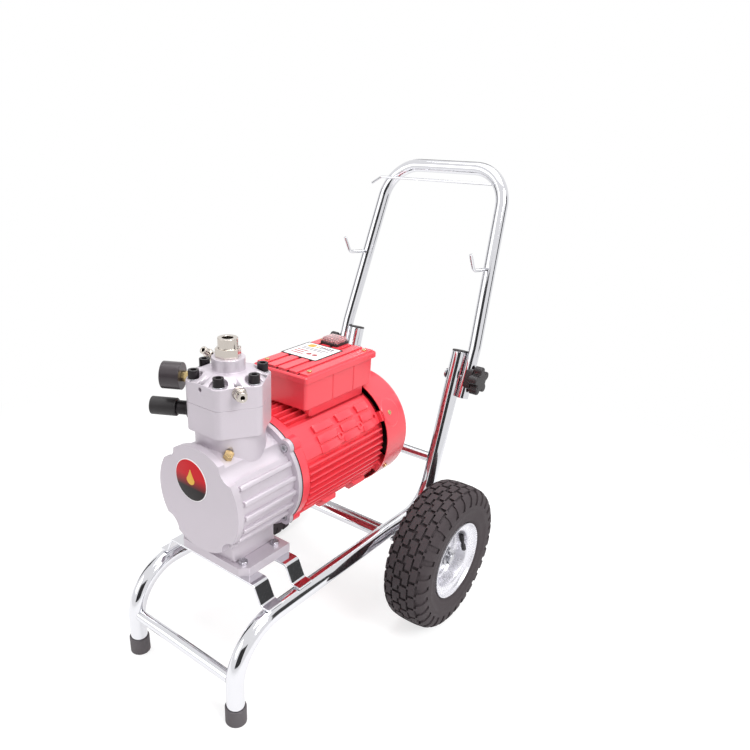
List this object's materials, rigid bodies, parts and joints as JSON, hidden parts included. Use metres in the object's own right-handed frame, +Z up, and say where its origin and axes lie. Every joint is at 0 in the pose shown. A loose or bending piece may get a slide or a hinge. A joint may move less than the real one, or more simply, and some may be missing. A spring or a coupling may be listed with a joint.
{
  "type": "airless paint sprayer",
  "caption": "Electric diaphragm paint pump with finned motor on a two-wheel chromed tube trolley with a fold-down handle.",
  "frame": {"origin": "centre of the footprint on the floor, midway front to back and side to side", "axes": "+Z up, -Y towards the pump's front disc, +Y towards the handle, +X to the machine's right-hand wheel seen from behind"},
  "size_m": [0.492, 0.7062, 0.7505],
  "materials": {
    "chromed_tube": "bright chrome plate on steel tube",
    "chromed_strip": "bright chrome plate on flat bar",
    "zinc_steel": "zinc plated steel",
    "end_cap_rubber": "moulded dark grey rubber",
    "cast_aluminium": "bead blasted silver casting",
    "brass": "turned brass",
    "brass_screw": "brass plated screw",
    "gasket": "black sealing sheet",
    "diaphragm_rubber": "fabric reinforced rubber sheet",
    "black_oxide_steel": "black oxide steel",
    "ground_steel": "ground steel",
    "spring_steel": "spring wire",
    "nickel_plated_brass": "nickel plated brass",
    "gauge_steel": "bright stainless gauge case",
    "gauge_dial": "white printed dial",
    "gauge_lens": "clear window",
    "needle_black": "black painted pointer",
    "red_enamel": "gloss red enamel on castings and sheet",
    "lamination_steel": "stacked electrical steel",
    "copper_winding": "varnished copper wire",
    "fan_plastic": "moulded nylon",
    "capacitor_plastic": "moulded capacitor can",
    "black_plastic": "moulded black nylon",
    "rocker_plastic": "red rocker",
    "tyre_rubber": "black tyre rubber",
    "silver_painted_rim": "silver paint on pressed steel"
  },
  "bodies": {
    "root": {"frame_left": "chromed_tube", "frame_right": "chromed_tube", "frame_cross_members": "chromed_tube", "mount_straps": "chromed_strip", "tube_end_caps": "end_cap_rubber", "axle": "zinc_steel", "axle_fasteners": "zinc_steel", "pump_casing": "cast_aluminium", "oil_plug": "brass", "casing_bolts": "zinc_steel", "flange_gasket": "gasket", "head_cover": "cast_aluminium", "head_screws": "black_oxide_steel", "diaphragm": "diaphragm_rubber", "cylinder_sleeve": "ground_steel", "piston": "ground_steel", "piston_spring": "spring_steel", "inlet_fitting": "nickel_plated_brass", "outlet_fitting": "nickel_plated_brass", "return_elbow": "nickel_plated_brass", "gauge_stem": "brass", "gauge_case": "gauge_steel", "gauge_dial": "gauge_dial", "gauge_lens": "gauge_lens", "pressure_valve": "zinc_steel", "motor_front_shield": "red_enamel", "motor_housing": "red_enamel", "motor_rear_shield": "red_enamel", "stator_core": "lamination_steel", "stator_windings": "copper_winding", "motor_bearings": "ground_steel", "fan_cover": "red_enamel", "cover_screws": "brass_screw", "terminal_box": "red_enamel", "terminal_box_lid": "red_enamel", "capacitor": "capacitor_plastic", "switch_frame": "black_plastic", "cable_gland": "black_plastic", "clamp_bolts": "zinc_steel"},
    "handle": {"handle_tube": "chromed_tube", "hose_hooks": "chromed_tube", "clamp_saddles": "black_plastic"},
    "clamp_knob_left": {"clamp_knob_left": "black_plastic"},
    "clamp_knob_right": {"clamp_knob_right": "black_plastic"},
    "wheel_left": {"tyre_left": "tyre_rubber", "rim_left": "silver_painted_rim", "hub_left": "zinc_steel", "rim_bolts_left": "zinc_steel"},
    "wheel_right": {"tyre_right": "tyre_rubber", "rim_right": "silver_painted_rim", "hub_right": "zinc_steel", "rim_bolts_right": "zinc_steel"},
    "rotor": {"motor_shaft": "ground_steel", "rotor_core": "lamination_steel", "cooling_fan": "fan_plastic", "eccentric": "ground_steel"},
    "gauge_needle": {"gauge_needle": "needle_black"},
    "pressure_knob": {"pressure_knob": "black_plastic"},
    "inlet_poppet": {"inlet_poppet": "ground_steel"},
    "switch_rocker": {"switch_rocker": "rocker_plastic"}
  },
  "joints": [
    {"name": "handle_fold", "type": "hinge", "parent": "root", "child": "handle", "pos_m": [0, 0.23725, 0.3965], "axis": [1, 0, 0], "range_deg": [0, 88]},
    {"name": "clamp_knob_left_turn", "type": "hinge", "parent": "handle", "child": "clamp_knob_left", "pos_m": [-0.161, 0.23725, 0.3965], "axis": [-1, 0, 0], "range_deg": [0, 1080]},
    {"name": "clamp_knob_right_turn", "type": "hinge", "parent": "handle", "child": "clamp_knob_right", "pos_m": [0.161, 0.23725, 0.3965], "axis": [1, 0, 0], "range_deg": [0, 1080]},
    {"name": "wheel_left_spin", "type": "hinge", "parent": "root", "child": "wheel_left", "pos_m": [-0.207, 0.07837, 0.13], "axis": [1, 0, 0], "continuous": true},
    {"name": "wheel_right_spin", "type": "hinge", "parent": "root", "child": "wheel_right", "pos_m": [0.207, 0.07837, 0.13], "axis": [1, 0, 0], "continuous": true},
    {"name": "rotor_spin", "type": "hinge", "parent": "root", "child": "rotor", "pos_m": [0, -0.02163, 0.3165], "axis": [0, 1, 0], "continuous": true},
    {"name": "pressure_knob_turn", "type": "hinge", "parent": "root", "child": "pressure_knob", "pos_m": [-0.0866, -0.26963, 0.434], "axis": [-0.866, -0.5, 0], "range_deg": [0, 1080]},
    {"name": "gauge_needle_turn", "type": "hinge", "parent": "root", "child": "gauge_needle", "pos_m": [-0.08141, -0.26663, 0.483], "axis": [0.866, 0.5, 0], "range_deg": [0, 270], "stiffness_Nm_per_rad": 0.0005, "springref_deg": -5.73},
    {"name": "inlet_poppet_lift", "type": "slide", "parent": "root", "child": "inlet_poppet", "axis": [0, 0, -1], "range_m": [0, 0.002], "stiffness_N_per_m": 600, "springref_m": -0.002},
    {"name": "switch_rocker_tip", "type": "hinge", "parent": "root", "child": "switch_rocker", "pos_m": [-0.017, 0.04537, 0.4705], "axis": [1, 0, 0], "range_deg": [0, 18]}
  ]
}
